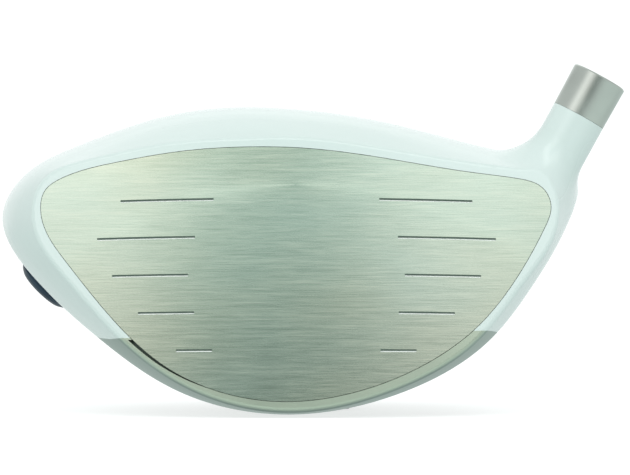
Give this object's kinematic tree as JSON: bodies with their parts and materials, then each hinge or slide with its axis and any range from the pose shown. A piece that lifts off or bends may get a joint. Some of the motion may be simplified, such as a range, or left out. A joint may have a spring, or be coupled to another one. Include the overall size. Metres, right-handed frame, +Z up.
{
  "type": "golf driver head",
  "caption": "Right-handed golf driver head: white crown and skirt, brushed scored face, bare sole, adjustable hosel sleeve, screw-in toe and heel weights and a sole adjuster plate.",
  "frame": {"origin": "on the ground under the middle of the head's bounding box, head soled in its playing position", "axes": "+X from toe to heel, +Y from the face towards the tail, +Z up"},
  "size_m": [0.1442, 0.1006, 0.0802],
  "materials": {
    "crown_shell": "gloss white paint over a thin titanium pressing",
    "skirt_shell": "gloss white paint over cast titanium",
    "sole_shell": "satin bare titanium",
    "face_plate": "horizontally brushed titanium",
    "hosel_liner": "machined titanium",
    "loft_sleeve": "satin turned aluminium",
    "sleeve_bolt": "dark plated steel",
    "bolt_washer": "plain steel",
    "port_cup": "dark navy gloss ring",
    "weight": "dark plated steel",
    "screw": "steel",
    "clip": "spring steel",
    "adjuster_well": "cast titanium",
    "adjuster_plate": "dark anodised aluminium",
    "sole_rib": "as-cast titanium",
    "tail_weight": "as-cast steel"
  },
  "bodies": {
    "head": {"crown_shell": "crown_shell", "skirt_shell": "skirt_shell", "sole_shell": "sole_shell", "face_plate": "face_plate", "hosel_liner": "hosel_liner", "toe_port_cup": "port_cup", "heel_port_cup": "port_cup", "adjuster_well": "adjuster_well", "sole_rib_1": "sole_rib", "sole_rib_2": "sole_rib", "sole_rib_3": "sole_rib", "tail_weight": "tail_weight"},
    "sleeve": {"loft_sleeve": "loft_sleeve"},
    "bolt_slide": {"bolt_washer": "bolt_washer"},
    "bolt": {"sleeve_bolt": "sleeve_bolt"},
    "toe_cartridge": {"toe_weight": "weight", "toe_weight_clip": "clip"},
    "toe_screw": {"toe_weight_screw": "screw"},
    "heel_cartridge": {"heel_weight": "weight", "heel_weight_clip": "clip"},
    "heel_screw": {"heel_weight_screw": "screw"},
    "adjuster": {"adjuster_plate": "adjuster_plate"},
    "adjuster_turn": {"adjuster_screw": "screw"}
  },
  "joints": [
    {"name": "sleeve_lift", "type": "slide", "parent": "head", "child": "sleeve", "axis": [0.4818, 0, 0.8763], "range_m": [0, 0.036]},
    {"name": "bolt_travel", "type": "slide", "parent": "head", "child": "bolt_slide", "axis": [-0.4818, 0, -0.8763], "range_m": [0, 0.008]},
    {"name": "bolt_turn", "type": "hinge", "parent": "bolt_slide", "child": "bolt", "pos_m": [0.0353, -0.0265, 0.0201], "axis": [-0.4818, 0, -0.8763], "range_deg": [0, 3600]},
    {"name": "toe_weight_travel", "type": "slide", "parent": "head", "child": "toe_cartridge", "axis": [-0.6991, 0.1498, -0.6991], "range_m": [0, 0.0056]},
    {"name": "toe_weight_turn", "type": "hinge", "parent": "toe_cartridge", "child": "toe_screw", "pos_m": [-0.0621, 0.0055, 0.0297], "axis": [-0.6991, 0.1498, -0.6991], "range_deg": [0, 2880]},
    {"name": "heel_weight_travel", "type": "slide", "parent": "head", "child": "heel_cartridge", "axis": [0.7783, 0.449, -0.439], "range_m": [0, 0.0056]},
    {"name": "heel_weight_turn", "type": "hinge", "parent": "heel_cartridge", "child": "heel_screw", "pos_m": [0.0465, 0.0195, 0.0324], "axis": [0.7783, 0.449, -0.439], "range_deg": [0, 2880]},
    {"name": "adjuster_travel", "type": "slide", "parent": "head", "child": "adjuster", "axis": [0, 0, -1], "range_m": [0, 0.0049]},
    {"name": "adjuster_turn", "type": "hinge", "parent": "adjuster", "child": "adjuster_turn", "pos_m": [-0.0029, -0.0045, 0], "axis": [0, 0, -1], "range_deg": [0, 2520]}
  ],
  "couplings": [
    {"joint": "bolt_turn", "follows": "bolt_travel", "rad_per_m": 7854},
    {"joint": "toe_weight_turn", "follows": "toe_weight_travel", "rad_per_m": 8976},
    {"joint": "heel_weight_turn", "follows": "heel_weight_travel", "rad_per_m": 8976},
    {"joint": "adjuster_turn", "follows": "adjuster_travel", "rad_per_m": 8976}
  ]
}
